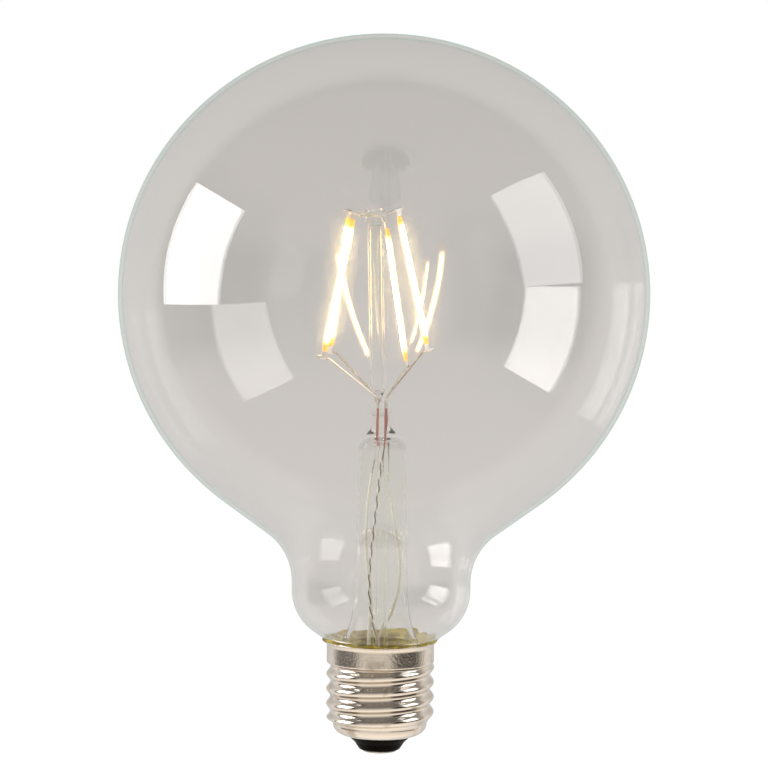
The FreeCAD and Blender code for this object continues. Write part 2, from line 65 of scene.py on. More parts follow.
class Link:
    """A shader or geometry socket that takes part in arithmetic."""

    def __init__(self, graph: "Graph", socket: bpy.types.NodeSocket) -> None:
        """Wrap a socket of the graph."""
        self.graph = graph
        self.socket = socket

    def maths(self, operation: str, *others: "Link | float", first: bool = True) -> "Link":
        """Add one Math node.

        Args:
            operation: The Math node's operation.
            others: The other operands, links or numbers.
            first: Whether this link is the first operand.

        Returns:
            The node's value.
        """
        operands = [self, *others] if first else [*others, self]
        return self.graph.node("ShaderNodeMath", {"operation": operation}, dict(enumerate(operands)))

    def __add__(self, other: "Link | float") -> "Link":
        """Sum."""
        return self.maths("ADD", other)

    __radd__ = __add__

    def __sub__(self, other: "Link | float") -> "Link":
        """Difference."""
        return self.maths("SUBTRACT", other)

    def __rsub__(self, other: float) -> "Link":
        """Difference from a number."""
        return self.maths("SUBTRACT", other, first=False)

    def __mul__(self, other: "Link | float") -> "Link":
        """Product."""
        return self.maths("MULTIPLY", other)

    __rmul__ = __mul__

    def __truediv__(self, other: "Link | float") -> "Link":
        """Quotient."""
        return self.maths("DIVIDE", other)

    def __pow__(self, other: "Link | float") -> "Link":
        """Power."""
        return self.maths("POWER", other)

    def clamped(self) -> "Link":
        """The value held between 0 and 1."""
        return self.maths("MAXIMUM", 0.0).maths("MINIMUM", 1.0)

    def eased(self, low: "Link | float", high: "Link | float") -> "Link":
        """A smooth step from 0 at low to 1 at high."""
        part = ((self - low) / (high - low)).clamped()
        return part * part * (3.0 - 2.0 * part)


class Graph:
    """A node tree that is filled by one node-making method."""

    def __init__(self, tree: bpy.types.NodeTree) -> None:
        """Take over a tree and empty it."""
        self.tree = tree
        tree.nodes.clear()

    def node(self, kind: str, settings: dict | None = None, inputs: dict | None = None,
             output: int | str = 0) -> Link:
        """Make one node.

        Args:
            kind: The node's type.
            settings: What is set on the node before its inputs.
            inputs: Values or links by socket name or number.
            output: The socket that is returned.

        Returns:
            One output of the node.
        """
        made = self.tree.nodes.new(kind)
        for name, value in (settings or {}).items():
            setattr(made, name, value)
        for name, value in (inputs or {}).items():
            if isinstance(value, Link):
                self.tree.links.new(value.socket, made.inputs[name])
            else:
                made.inputs[name].default_value = value
        outputs = made.outputs
        return Link(self, outputs[output]) if len(outputs) else Link(self, None)

    def mixed(self, factor: Link, low: "Link | Colour", high: "Link | Colour") -> Link:
        """Mix two colours by a factor."""
        sides = [side if isinstance(side, Link) else (*side, 1.0) for side in (low, high)]
        settings = {"data_type": "RGBA"}
        # The Mix node keeps its colours in inputs 6 and 7 and in output 2.
        return self.node("ShaderNodeMix", settings, {0: factor, 6: sides[0], 7: sides[1]}, 2)

    def dot(self, vector: Link, direction: Vector) -> Link:
        """Length of a vector along a fixed direction."""
        inputs = {0: vector, 1: tuple(direction)}
        return self.node("ShaderNodeVectorMath", {"operation": "DOT_PRODUCT"}, inputs, "Value")

    def outputs(self, kind: str, names: tuple[str, ...], inputs: dict | None = None) -> list[Link]:
        """Make one node and hand over several of its outputs by name."""
        first = self.node(kind, {}, inputs, names[0])
        return [Link(self, first.socket.node.outputs[name]) for name in names]

    def rays(self) -> tuple[Link, Link, Link]:
        """Tell the kinds of ray apart.

        Returns:
            Whether a ray comes straight from the camera, through glass, or off something that mirrors.
        """
        camera, passed, bent, gloss = self.outputs("ShaderNodeLightPath", (
            "Is Camera Ray", "Transparent Depth", "Is Transmission Ray", "Is Glossy Ray"))
        beyond = passed.clamped()
        through = (camera * beyond).maths("MAXIMUM", bent)
        return camera * (1.0 - beyond), through, gloss * (1.0 - through)


class Paint(Graph):
    """The node tree of one new material."""

    def __init__(self, name: str) -> None:
        """Make the material and its coordinates."""
        self.material = bpy.data.materials.new(name)
        self.material.use_nodes = True
        super().__init__(self.material.node_tree)
        self.place = self.node("ShaderNodeTexCoord", output="Object")

    def noise(self, size: float, detail: float = 3.0, stretch: Triple = (1.0, 1.0, 1.0)) -> Link:
        """Noise of a grain size in metres, stretched along each axis, as a value."""
        where = self.node("ShaderNodeMapping", {}, {"Vector": self.place, "Scale": stretch})
        inputs = {"Vector": where, "Scale": 1.0 / size, "Detail": detail}
        return self.node("ShaderNodeTexNoise", {}, inputs, 0)

    def bump(self, height: Link, distance: float) -> Link:
        """A normal roughened by a height, over a distance in metres."""
        return self.node("ShaderNodeBump", {}, {"Height": height, "Distance": distance, "Strength": 1.0})

    def principled(self, **inputs: object) -> Link:
        """The main surface shader, with its inputs by name, spaces as underscores."""
        named = {name.replace("_", " "): value for name, value in inputs.items()}
        return self.node("ShaderNodeBsdfPrincipled", {}, named)

    def finish(self, surface: Link) -> bpy.types.Material:
        """Send a surface to the output and hand over the material."""
        self.node("ShaderNodeOutputMaterial", {}, {"Surface": surface})
        return self.material


@dataclass(frozen=True)
class BlownGlass:
    """Thin clear glass, a trace hazy, that mirrors its surroundings and is green where seen edge on."""

    name: str
    tint: Colour = (0.988, 0.982, 0.976)
    edge_sheen: Colour = (0.80, 1.0, 0.93)
    edge_from: Point = (0.84, 0.97)
    ior: float = 1.5
    polish: float = 0.015
    wave: float = 0.03
    ripple: float = 0.00002
    haze: float = 0.035
    haze_ior: float = 1.08
    haze_roughness: float = 0.6

    def material(self) -> bpy.types.Material:
        """Returns the finish as a material."""
        paint = Paint(self.name)
        normal = paint.bump(paint.noise(self.wave, 1.0), self.ripple)
        straight = ((self.ior - 1) / (self.ior + 1)) ** 2
        grazing = paint.node("ShaderNodeLayerWeight", {}, {"Blend": 0.5, "Normal": normal}, "Facing")
        mirror = straight + grazing ** 5.0 * (1.0 - straight)
        clear = paint.node("ShaderNodeBsdfTransparent", {}, {"Color": (*self.tint, 1.0)})
        veil = paint.node("ShaderNodeBsdfRefraction", {}, {
            "Color": (*self.tint, 1.0), "Roughness": self.haze_roughness, "IOR": self.haze_ior})
        body = paint.node("ShaderNodeMixShader", {}, {0: self.haze, 1: clear, 2: veil})
        plain, green = (paint.node("ShaderNodeBsdfGlossy", {}, {
            "Color": (*colour, 1.0), "Roughness": self.polish, "Normal": normal})
            for colour in ((1.0, 1.0, 1.0), self.edge_sheen))
        edge = grazing.eased(*self.edge_from)
        gloss = paint.node("ShaderNodeMixShader", {}, {0: edge, 1: plain, 2: green})
        return paint.finish(paint.node("ShaderNodeMixShader", {}, {0: mirror, 1: body, 2: gloss}))


@dataclass(frozen=True)
class DrawnGlass:
    """Thick clear glass of the stem, with its refraction and a faint flow, that lets lamp light in."""

    name: str
    ior: float = 1.45
    colour: Colour = (0.985, 0.992, 0.980)
    flow: float = 0.00004
    grain: float = 0.004
    stretch: Triple = (1.0, 1.0, 0.3)

    def material(self) -> bpy.types.Material:
        """Returns the finish as a material."""
        paint = Paint(self.name)
        normal = paint.bump(paint.noise(self.grain, 2.0, self.stretch), self.flow)
        shadow, spread = paint.outputs("ShaderNodeLightPath", ("Is Shadow Ray", "Is Diffuse Ray"))
        solid = paint.principled(
            Base_Color=(*self.colour, 1.0), Roughness=0.0, IOR=self.ior, Transmission_Weight=1.0,
            Normal=normal)
        clear = paint.node("ShaderNodeBsdfTransparent", {}, {"Color": (*self.colour, 1.0)})
        lets_in = shadow.maths("MAXIMUM", spread)
        return paint.finish(paint.node("ShaderNodeMixShader", {}, {0: lets_in, 1: solid, 2: clear}))


@dataclass(frozen=True)
class Metal:
    """Bright or dull metal with uneven shade and fine scuffs, matt above a height if one is given."""

    name: str
    colour: Colour
    stain: Colour
    roughness: float = 0.22
    grain: float = 0.002
    scuff: float = 0.00002
    stain_from: float = 0.52
    matt_from: Point | None = None
    stain_edge: float = 0.2
    worn_roughness: float = 0.15
    fine_roughness: float = 0.05
    fine_stretch: Triple = (1.0, 1.0, 0.8)
    matt_roughness: float = 0.06
    matt_scuff: Point = (0.3, 6.0)

    def material(self) -> bpy.types.Material:
        """Returns the finish as a material."""
        paint = Paint(self.name)
        blotch = paint.noise(self.grain * 2.5, 4.0)
        worn = blotch.eased(self.stain_from, self.stain_from + self.stain_edge)
        fine = paint.noise(self.grain * 0.18, 2.0, self.fine_stretch)
        colour = paint.mixed(worn, self.colour, self.stain)
        rough = self.roughness + worn * self.worn_roughness + fine * self.fine_roughness
        if self.matt_from:
            (up,) = paint.outputs("ShaderNodeSeparateXYZ", ("Z",), {0: paint.place})
            matt = up.eased(*self.matt_from)
            below, above = self.matt_scuff
            fine = fine * (below + matt * above)
            rough = rough + matt * self.matt_roughness
        return paint.finish(paint.principled(
            Base_Color=colour, Metallic=1.0, Roughness=rough, Normal=paint.bump(fine, self.scuff)))


@dataclass(frozen=True)
class Matter:
    """Dull or glossy stuff that isn't metal, mottled between two colours."""

    name: str
    colour: Colour
    shade: Colour
    roughness: float = 0.5
    grain: float = 0.001
    relief: float = 0.00005
    gloss: float = 0.5
    blotch_edge: Point = (0.35, 0.65)
    uneven: float = 0.1

    def material(self) -> bpy.types.Material:
        """Returns the finish as a material."""
        paint = Paint(self.name)
        blotch = paint.noise(self.grain, 4.0)
        colour = paint.mixed(blotch.eased(*self.blotch_edge), self.colour, self.shade)
        return paint.finish(paint.principled(
            Base_Color=colour, Roughness=self.roughness + blotch * self.uneven,
            Specular_IOR_Level=self.gloss, Normal=paint.bump(blotch, self.relief)))


@dataclass(frozen=True)
class Phosphor:
    """The coat of one filament: lit along its middle, fading to orange at its tapered ends."""

    name: str
    centre: Vector
    along: Vector
    fade: Point = (12.4 * MM, 15.2 * MM)
    core: float = 0.45 * MM
    rim: float = 0.85 * MM
    glow: Colour = (1.0, 0.78, 0.36)
    rim_glow: Colour = (0.055, 0.030, 0.006)
    end_glow: Colour = (0.025, 0.0108, 0.0007)
    strength: float = 34.0
    falloff: float = 3.0
    lump: float = 0.9 * MM
    lump_edge: Point = (0.3, 0.7)
    light_coat: Colour = (0.95, 0.52, 0.10)
    dark_coat: Colour = (0.80, 0.36, 0.05)
    roughness: float = 0.45
    relief: float = 0.1 * MM

    def material(self) -> bpy.types.Material:
        """Returns the finish as a material."""
        paint = Paint(self.name)
        where = paint.node("ShaderNodeVectorMath", {"operation": "SUBTRACT"},
                           {0: paint.place, 1: tuple(self.centre)})
        reach = paint.dot(where, self.along).maths("ABSOLUTE")
        lit_share = (1.0 - reach.eased(*self.fade)) ** self.falloff
        lumps = paint.noise(self.lump, 2.0)
        body = paint.mixed(lumps.eased(*self.lump_edge), self.light_coat, self.dark_coat)
        beside = paint.node("ShaderNodeVectorMath", {"operation": "CROSS_PRODUCT"},
                            {0: where, 1: tuple(self.along)})
        offset = paint.node("ShaderNodeVectorMath", {"operation": "LENGTH"}, {0: beside}, "Value")
        lit = paint.mixed(offset.eased(self.core, self.rim), self.glow, self.rim_glow)
        light = paint.mixed(lit_share, self.end_glow, lit)
        return paint.finish(paint.principled(
            Base_Color=body, Roughness=self.roughness, Emission_Color=light,
            Emission_Strength=self.strength, Normal=paint.bump(lumps, self.relief)))


class Outline:
    """A closed half section in millimetres, turned about the lamp's axis to make a solid."""

    ON_AXIS = 1e-6
    MOST_OF_A_RUN = 0.49

    def __init__(self) -> None:
        """Start with no points."""
        self.points: list[Point] = []

    def arc(self, centre: Point, radius: float, start: float, end: float, steps: int) -> "Outline":
        """Add points of an arc between two angles in degrees."""
        for k in range(steps + 1):
            angle = math.radians(start + (end - start) * k / steps)
            self.points.append((centre[0] + radius * math.cos(angle), centre[1] + radius * math.sin(angle)))
        return self

    def rounded(self, corners: list[Triple], steps: int = 8) -> "Outline":
        """Add straight runs through (radius, z, rounding) corners."""
        for n, (r, z, rounding) in enumerate(corners):
            if rounding == 0 or n in (0, len(corners) - 1):
                self.points.append((r, z))
                continue
            corner = np.array((r, z))
            back = np.array(corners[n - 1][:2]) - corner
            ahead = np.array(corners[n + 1][:2]) - corner
            room = self.MOST_OF_A_RUN * min(np.linalg.norm(back), np.linalg.norm(ahead))
            back /= np.linalg.norm(back)
            ahead /= np.linalg.norm(ahead)
            half = math.acos(max(-1.0, min(1.0, float(back @ ahead)))) / 2
            reach = min(room, rounding / math.tan(half))
            radius = reach * math.tan(half)
            middle = corner + (back + ahead) / np.linalg.norm(back + ahead) * radius / math.sin(half)
            start = corner + back * reach - middle
            end = corner + ahead * reach - middle
            turn = math.atan2(start[0] * end[1] - start[1] * end[0], float(start @ end))
            for k in range(steps + 1):
                angle = turn * k / steps
                spin = np.array(((math.cos(angle), -math.sin(angle)), (math.sin(angle), math.cos(angle))))
                self.points.append(tuple(float(v) for v in middle + spin @ start))
        return self

    def solid(self, name: str, segments: int = 96) -> bpy.types.Object:
        """Turn the section about the upright axis.

        Args:
            name: The piece's name.
            segments: How many steps the turn has.

        Returns:
            The piece, smooth apart from its sharp edges.
        """
        mesh = bmesh.new()
        rings = []
        for r, z in self.points:
            if r < self.ON_AXIS:
                rings.append([mesh.verts.new((0, 0, z * MM))] * segments)
                continue
            ring = []
            for k in range(segments):
                turn = 2 * math.pi * k / segments
                spot = (r * math.cos(turn) * MM, r * math.sin(turn) * MM, z * MM)
                ring.append(mesh.verts.new(spot))
            rings.append(ring)
        for low, high in zip(rings, rings[1:] + rings[:1]):
            for k in range(segments):
                n = (k + 1) % segments
                face = list(dict.fromkeys((low[k], low[n], high[n], high[k])))
                if len(face) > 2:
                    mesh.faces.new(face)
        return finished(mesh, name)


def finished(mesh: bmesh.types.BMesh, name: str) -> bpy.types.Object:
    """Clean a mesh, point its faces outwards, smooth it and link it as an object."""
    bmesh.ops.remove_doubles(mesh, verts=mesh.verts, dist=WELD_DISTANCE)
    bmesh.ops.recalc_face_normals(mesh, faces=mesh.faces)
    data = bpy.data.meshes.new(name)
    mesh.to_mesh(data)
    mesh.free()
    data.polygons.foreach_set("use_smooth", [True] * len(data.polygons))
    data.set_sharp_from_angle(angle=SHARP_ANGLE)
    piece = bpy.data.objects.new(name, data)
    bpy.context.scene.collection.objects.link(piece)
    return piece


def dress(piece: bpy.types.Object, material: bpy.types.Material, slot: str, *nodes: str) -> None:
    """Give a new piece its finish, the body it rides on and the nodes it stands for.

    Args:
        piece: The new piece.
        material: Its finish.
        slot: The record's material slot; not used.
        nodes: The CAD nodes that it replaces.
    """
    piece.data.materials.clear()
    piece.data.materials.append(material)
    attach(piece, "root")
    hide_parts(*nodes)
    log.info("%s stands for %s", piece.name, ", ".join(nodes))


def coat(node: str, material: bpy.types.Material) -> None:
    """Put a finish on a CAD node that keeps its mesh."""
    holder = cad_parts[node]
    for slot in holder.material_slots:
        slot.link = "OBJECT"
        slot.material = material
    log.info("%s is finished as %s", node, material.name)


@dataclass
class Envelope:
    """The blown globe and its neck, in millimetres."""

    radius: float = 63.5
    half_height: float = 62.1
    centre_z: float = 110.6
    wall: float = 0.9
    slope: float = 53.7
    neck_radius: float = 21.6
    hollow: float = 15.0
    shoulder: float = 12.5
    shoulder_slope: float = 55.0
    seal_radius: float = 11.2
    seal_z: float = 25.9
    finish: BlownGlass = BlownGlass("blown_glass")

    def side(self, inset: float) -> list[Point]:
        """One surface of the glass from the crown to the seal, set in by inset."""
        a = self.radius - inset
        b = self.half_height - inset
        spread = (a - b) / (math.sqrt(2) - 1)
        side = a - spread * math.sqrt(0.5)
        crown = b + spread * math.sqrt(0.5)
        outline = Outline()
        outline.arc((0, self.centre_z + b - crown), crown, 90, 45, 40)
        outline.points[0] = (0.0, self.centre_z + b)
        outline.arc((a - side, self.centre_z), side, 45, -45, 70)
        outline.arc((0, self.centre_z - b + crown), crown, -45, -self.slope, 8)
        join = outline.points[-1]
        neck = self.neck_radius - inset
        foot = self.seal_radius - inset / math.cos(math.radians(self.shoulder_slope))
        corner_z = join[1] - (join[0] - neck) / math.tan(math.radians(self.slope))
        low_z = self.seal_z + (neck - foot) / math.tan(math.radians(self.shoulder_slope))
        outline.rounded([
            (*join, 0), (neck, corner_z, self.hollow + inset), (neck, low_z, self.shoulder - inset),
            (foot, self.seal_z, 0)], 14)
        return outline.points

    def build(self) -> None:
        """Make the wall and dress it."""
        outline = Outline()
        outline.points = self.side(0.0) + self.side(self.wall)[::-1]
        piece = outline.solid("blown_globe", 192)
        dress(piece, self.finish.material(), "bulb_glass", "globe_envelope")


@dataclass
class Stem:
    """The flared tube with its pinch, the exhaust tube and the support post, in millimetres."""

    foot: Point = (6.3, 40.0)
    head: Point = (5.65, 75.0)
    dome_z: float = 75.4
    head_round: float = 3.0
    shoulder: Point = (1.9, 79.2)
    wall: float = 0.8
    flare_z: float = 32.0
    lip_radius: float = 9.5
    seal: Point = (11.2, 25.9)
    seal_lip: float = 0.9
    pinch_x: float = -0.6
    neck_radius: float = 1.9
    bead: Point = (2.7, 81.7)
    top_z: float = 84.8
    exhaust_radius: float = 1.75
    exhaust_bore: float = 1.05
    exhaust_tip: Point = (17.0, 2.4)
    post_foot: Triple = (-1.17, 0.0, 84.8)
    post_head: Triple = (-2.4, 0.0, 131.3)
    post_radius: float = 1.85
    post_bore: float = 1.2
    post_taper: float = 2.9
    button: Triple = (3.1, 2.6, 3.1)
    tube_finish: DrawnGlass = DrawnGlass("tube_glass", 1.2)
    post_finish: DrawnGlass = DrawnGlass("rod_glass")

    def flare(self) -> bpy.types.Object:
        """The stem tube with its pinch, in one skin, leaning over to the pinch above its dome."""
        wall = self.wall
        bead, bead_z = self.bead
        low = Outline().rounded([
            (0, self.top_z, 0), (self.neck_radius - 0.2, self.top_z, 0.5),
            (bead, self.top_z - 0.7, 0.8), (bead, bead_z + 0.4, 0.8), (self.neck_radius, bead_z, 0.4),
            (self.shoulder[0], self.shoulder[1], 0.8), (self.head[0], self.head[1], self.head_round),
            (*self.foot, 10.0), (self.foot[0] + wall, self.flare_z, 16.0),
            (self.lip_radius, self.seal[1], 0.3),
            (self.seal[0] - 0.2, self.seal[1], 0.2), (self.seal[0] - 0.2, self.seal[1] - self.seal_lip, 0.4),
            (self.lip_radius - wall, self.seal[1] - self.seal_lip, 0.3),
            (self.foot[0], self.flare_z, 16.0), (self.foot[0] - wall, self.foot[1], 10.0),
            (self.head[0] - wall, self.dome_z, self.head_round - wall), (0, self.dome_z, 0)], 10)
        piece = low.solid("stem_flare_glass", 96)
        for vertex in piece.data.vertices:
            part = min(1.0, max(0.0, (vertex.co.z / MM - self.dome_z) / (bead_z - self.dome_z)))
            vertex.co.x += self.pinch_x * MM * part * part * (3 - 2 * part)
        return piece

    def post(self) -> bpy.types.Object:
        """The leaning post: a tube on a melted foot, closed by the pressed button."""
        foot = Vector(self.post_foot)
        lean = Vector(self.post_head) - foot
        top = lean.length
        base, waist, height = self.button
        low = top - height
        outer = Outline().rounded([
            (0, 0, 0), (0.7, 0, 0), (1.0, self.post_taper * 0.5, 0.8),
            (self.post_radius, self.post_taper, 0.4),
            (self.post_radius, low, 0.3), (base, low + 0.2, 0.3), (base, low + 1.2, 0.6),
            (waist, top - 0.9, 0.5), (waist - 0.2, top, 0.5), (0, top, 0)])
        bore = Outline().rounded([
            (0, self.post_taper, 0), (self.post_bore, self.post_taper, 0.2),
            (self.post_bore, low - 0.8, 0.4), (0, low - 0.8, 0)])
        piece = outer.solid("post_glass", 64)
        hollow = bore.solid("post_hollow", 64)
        mesh = bmesh.new()
        mesh.from_mesh(piece.data)
        start = len(mesh.faces)
        mesh.from_mesh(hollow.data)
        mesh.faces.ensure_lookup_table()
        bmesh.ops.reverse_faces(mesh, faces=mesh.faces[start:])
        turn = Vector((0, 0, 1)).rotation_difference(lean).to_matrix().to_4x4()
        bmesh.ops.transform(mesh, matrix=Matrix.Translation(foot * MM) @ turn, verts=mesh.verts)
        mesh.to_mesh(piece.data)
        mesh.free()
        bpy.data.objects.remove(hollow)
        return piece

    def build(self) -> None:
        """Make the flare, the exhaust tube and the post."""
        glass = self.tube_finish.material()
        tip, taper = self.exhaust_tip
        tube = Outline().rounded([
            (0, tip, 0), (self.exhaust_radius * 0.35, tip, 0.3), (self.exhaust_radius, tip + taper, 1.5),
            (self.exhaust_radius, self.dome_z, 0), (self.exhaust_bore, self.dome_z, 0),
            (self.exhaust_bore, tip + taper + 1.2, 0.5), (0, tip + taper, 0)])
        dress(tube.solid("pumping_tube", 48), glass, "stem_glass", "exhaust_tube")
        dress(self.flare(), glass, "stem_glass", "stem_flare")
        dress(self.post(), self.post_finish.material(), "stem_glass", "support_post")


@dataclass
class Lights:
    """The four filaments with their tabs and wires, which keep their CAD meshes."""

    tab: Metal = Metal("tab_plate", (0.90, 0.88, 0.84), (0.66, 0.62, 0.55), 0.42, 0.0008)
    wire: Metal = Metal("nickel_wire", (0.66, 0.61, 0.54), (0.40, 0.36, 0.31), 0.28, 0.0008)
    cross: Metal = Metal("cross_wire_plate", (0.90, 0.84, 0.74), (0.62, 0.54, 0.42), 0.40, 0.0008)

    def build(self) -> None:
        """Finish each filament by its own axis, and its metal."""
        tab = self.tab.material()
        wire = self.wire.material()
        for quarter in Quarter:
            name = quarter.value
            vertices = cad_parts["filament_" + name].data.vertices
            points = np.array([v.co for v in vertices])
            centre = (points.min(0) + points.max(0)) / 2
            along = np.linalg.svd(points - points.mean(0), full_matrices=False)[2][0]
            coat("filament_" + name, Phosphor("phosphor_" + name, Vector(centre), Vector(along)).material())
            coat("upper_tab_" + name, tab)
            coat("lower_tab_" + name, tab)
            coat("feed_wire_" + name, wire)
        cross = self.cross.material()
        coat("cross_wire_high", cross)
        coat("cross_wire_low", cross)


@dataclass
class Leads:
    """The leads in and under the pinch, which keep their CAD meshes."""

    clad: Metal = Metal("clad_lead", (0.46, 0.135, 0.090), (0.30, 0.085, 0.060), 0.3, 0.0006)
    copper: Metal = Metal("dull_copper", (0.50, 0.44, 0.34), (0.26, 0.21, 0.15), 0.32, 0.0006)
    # Not a tinned wire: a pale copy of the same dark strand wire, a painted highlight so that the twisted
    # pair shows light and dark in turn.
    painted_lit_strand: Metal = Metal("strand_with_painted_highlight", (0.94, 0.90, 0.80), (0.70, 0.64, 0.52), 0.42, 0.0006)
    dark: Metal = Metal("dark_strand", (0.15, 0.11, 0.075), (0.07, 0.05, 0.035), 0.45, 0.0006)
    fibre: Matter = Matter("sleeve_fibre", (0.88, 0.85, 0.76), (0.76, 0.72, 0.62), 0.7, 0.0004)

    def build(self) -> None:
        """Finish each lead and sleeve."""
        clad = self.clad.material()
        copper = self.copper.material()
        fibre = self.fibre.material()
        for quarter in Quarter:
            coat("seal_lead_" + quarter.value, clad)
        # The left strand carries the painted highlight and the right keeps the wire's dark colour, so the
        # twist reads light and dark.
        coat("twisted_tail_left", self.painted_lit_strand.material())
        coat("twisted_tail_right", self.dark.material())
        for node in ("copper_tail_rear_left", "copper_tail_rear_right", "neutral_lead"):
            coat(node, copper)
        for node in ("tail_sleeve_rear_left", "tail_sleeve_rear_right"):
            coat(node, fibre)


@dataclass
class ScrewCap:
    """The rolled shell with its cement, insulator and contact, in millimetres and degrees."""

    pitch: float = 3.629
    mean_radius: float = 12.57
    depth: float = 0.98
    low_z: float = 7.0
    high_z: float = 22.2
    runout: float = 1.6
    upper_runout: float = 0.96
    phase: float = -265.3
    sheet: float = 0.25
    skirt_radius: float = 13.0
    skirt_z: float = 26.0
    rim_radius: float = 13.8
    rim_z: float = 27.2
    root_radius: float = 11.4
    lip_radius: float = 8.1
    lip_z: float = 4.3
    around: int = 160
    along: int = 170
    bed_low_z: float = 22.2
    bed_wall: float = 12.58
    seal: Point = (11.2, 25.9)
    glass_slope: float = 55.0
    bead_rise: float = 1.1
    bead_steps: int = 4
    bead_swell: float = 0.16
    bead_ragged: Triple = (0.25, 4.4, 2.6)
    cement_gap: float = 0.03
    hair: float = 0.0001
    rim_dent: float = 0.5
    rim_curve: float = 1.7
    dent_narrowness: float = 6.0
    plate: Metal = Metal("nickel_plate", (0.72, 0.66, 0.58), (0.46, 0.40, 0.33), 0.13, 0.0022, 0.000012, 0.56,
                         (0.0216, 0.0224))
    contact: Metal = Metal("contact_plate", (0.55, 0.52, 0.47), (0.34, 0.30, 0.26), 0.3, 0.001)
    moulding: Matter = Matter("black_moulding", (0.0035, 0.0022, 0.0015), (0.006, 0.004, 0.003), 0.2, 0.003,
                              0.00002, 0.012)
    bed: Matter = Matter("lamp_cement", (0.64, 0.50, 0.070), (0.29, 0.22, 0.030), 0.75, 0.003, 0.0002, 0.3)

    def thread_tree(self) -> bpy.types.NodeTree:
        """The geometry nodes that roll a flat grid into the shell.

        Returns:
            The tree, with its sizes as named inputs in metres.
        """
        tree = bpy.data.node_groups.new("rolled_thread", "GeometryNodeTree")
        tree.interface.new_socket("Geometry", in_out="OUTPUT", socket_type="NodeSocketGeometry")
        for name in self.sizes():
            tree.interface.new_socket(name, in_out="INPUT", socket_type="NodeSocketFloat")
        tree.interface.new_socket("Material", in_out="INPUT", socket_type="NodeSocketMaterial")
        graph = Graph(tree)
        entry = tree.nodes.new("NodeGroupInput")
        size = {name: Link(graph, entry.outputs[name]) for name in self.sizes()}
        counts = {"Size X": 1.0, "Size Y": 1.0, "Vertices X": self.around + 1, "Vertices Y": self.along}
        grid = graph.node("GeometryNodeMeshGrid", {}, counts, "Mesh")
        spot = graph.node("GeometryNodeInputPosition")
        split = graph.node("ShaderNodeSeparateXYZ", {}, {0: spot}, "X")
        height = Link(graph, split.socket.node.outputs["Y"]) + 0.5
        turn = (split + 0.5) * (2 * math.pi)
        z = size["Lip Z"] + height * (size["Rim Z"] - size["Lip Z"])
        rise = z.eased(size["Low Z"], size["Low Z"] + size["Runout"])
        fall = 1.0 - z.eased(size["High Z"] - size["Upper Runout"], size["High Z"])
        wave = (turn - z * (2 * math.pi) / size["Pitch"] - size["Phase"]).maths("COSINE")
        base = size["Root Radius"] + (size["Mean Radius"] - size["Root Radius"]) * rise
        base = base + (size["Skirt Radius"] - size["Mean Radius"]) * (1.0 - fall)
        threaded = base + size["Depth"] * 0.5 * rise * fall * wave
        part = 1.0 - ((z - size["Lip Z"]) / (size["Low Z"] - size["Lip Z"])).clamped()
        tuck = 1.0 - (1.0 - part * part).maths("MAXIMUM", 0.0).maths("SQRT")
        flare = ((z - size["Skirt Z"]) / (size["Rim Z"] - size["Skirt Z"])).clamped() ** self.rim_curve
        dent = (0.5 - turn.maths("COSINE") * 0.5) ** self.dent_narrowness
        flare = flare * (1.0 + size["Rim Dent"] * dent)
        radius = threaded - (size["Root Radius"] - size["Lip Radius"]) * tuck
        radius = radius + (size["Rim Radius"] - size["Skirt Radius"]) * flare
        parts = {"X": radius * turn.maths("COSINE"), "Y": radius * turn.maths("SINE"), "Z": z}
        rolled = graph.node("ShaderNodeCombineXYZ", {}, parts)
        moved = graph.node("GeometryNodeSetPosition", {}, {"Geometry": grid, "Position": rolled})
        weld = {"Geometry": moved, "Distance": WELD_DISTANCE * 10}
        closed = graph.node("GeometryNodeMergeByDistance", {}, weld)
        real = graph.node("GeometryNodeRealizeInstances", {}, {"Geometry": closed})
        material = Link(graph, entry.outputs["Material"])
        painted = graph.node("GeometryNodeSetMaterial", {}, {"Geometry": real, "Material": material})
        graph.node("NodeGroupOutput", {}, {"Geometry": painted})
        return tree

    def sizes(self) -> dict[str, float]:
        """The thread tree's inputs, in metres and radians."""
        lengths = {
            "Pitch": self.pitch, "Mean Radius": self.mean_radius, "Depth": self.depth, "Low Z": self.low_z,
            "High Z": self.high_z, "Runout": self.runout, "Upper Runout": self.upper_runout,
            "Skirt Radius": self.skirt_radius, "Skirt Z": self.skirt_z,
            "Rim Radius": self.rim_radius, "Rim Z": self.rim_z,
            "Root Radius": self.root_radius, "Lip Radius": self.lip_radius, "Lip Z": self.lip_z,
        }
        turns = {"Phase": math.radians(self.phase), "Rim Dent": self.rim_dent}
        return {**{name: value * MM for name, value in lengths.items()}, **turns}

